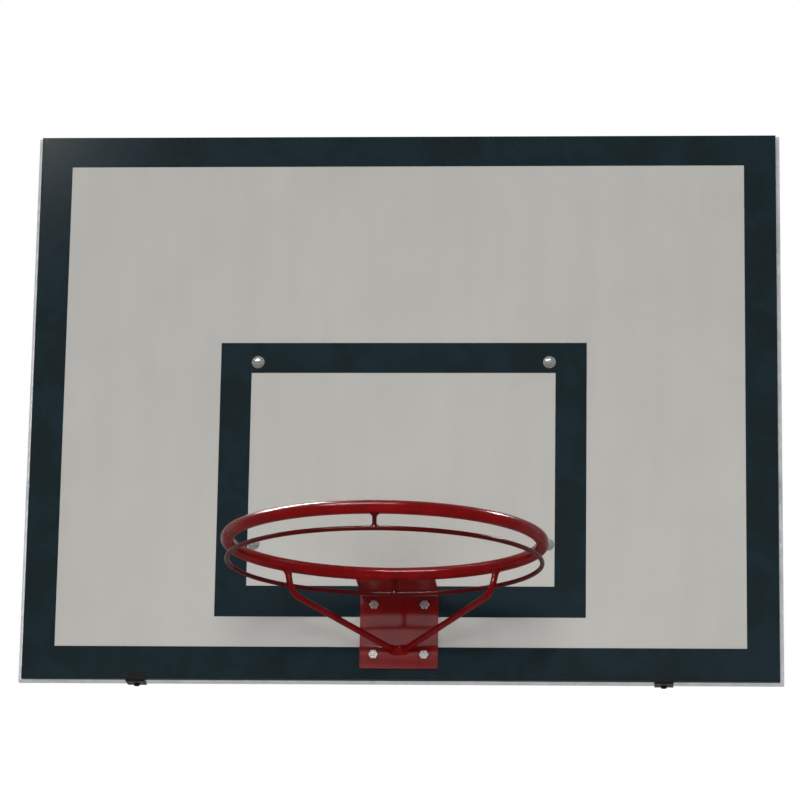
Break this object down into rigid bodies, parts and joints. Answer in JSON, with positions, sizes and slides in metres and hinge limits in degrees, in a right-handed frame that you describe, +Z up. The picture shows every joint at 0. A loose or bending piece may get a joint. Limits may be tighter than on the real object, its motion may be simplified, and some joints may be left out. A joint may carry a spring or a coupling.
{
  "type": "basketball backboard",
  "caption": "Framed rectangular wooden basketball backboard with painted border and target lines, and a fixed red rim with a net ring, for bolting to a wall or post bracket.",
  "frame": {"origin": "centre of the mounting studs, in the plane of their nuts' outer faces, where a wall bracket is clamped", "axes": "+X to the right as seen by a player facing the board, +Y out of the back towards the wall, +Z up"},
  "size_m": [1.214, 0.6984, 0.9112],
  "materials": {
    "panel_paint": "matte pale grey paint on plywood",
    "line_paint": "satin dark blue-green line paint",
    "frame_steel": "light grey galvanised steel tube",
    "zinc_fastener": "bright zinc plating",
    "clip_black": "black painted steel",
    "rim_enamel": "glossy red enamel"
  },
  "bodies": {
    "root": {"board_panel": "panel_paint", "border_marking": "line_paint", "target_marking": "line_paint", "frame_top_rail": "frame_steel", "frame_bottom_rail": "frame_steel", "frame_left_rail": "frame_steel", "frame_right_rail": "frame_steel", "frame_left_upright": "frame_steel", "frame_right_upright": "frame_steel", "frame_cross_rail": "frame_steel", "ring_backing_plate": "frame_steel", "panel_screws": "zinc_fastener", "mounting_bolts": "zinc_fastener", "mounting_washers": "zinc_fastener", "mounting_nuts": "zinc_fastener", "left_edge_clip": "clip_black", "right_edge_clip": "clip_black", "edge_clip_screws": "clip_black", "rim_bracket": "rim_enamel", "rim_ring": "rim_enamel", "net_ring": "rim_enamel", "net_ring_front_post": "rim_enamel", "net_ring_rear_post": "rim_enamel", "left_brace": "rim_enamel", "right_brace": "rim_enamel", "rim_bolts": "zinc_fastener", "rim_washers": "zinc_fastener", "rim_nuts": "zinc_fastener"}
  },
  "joints": []
}
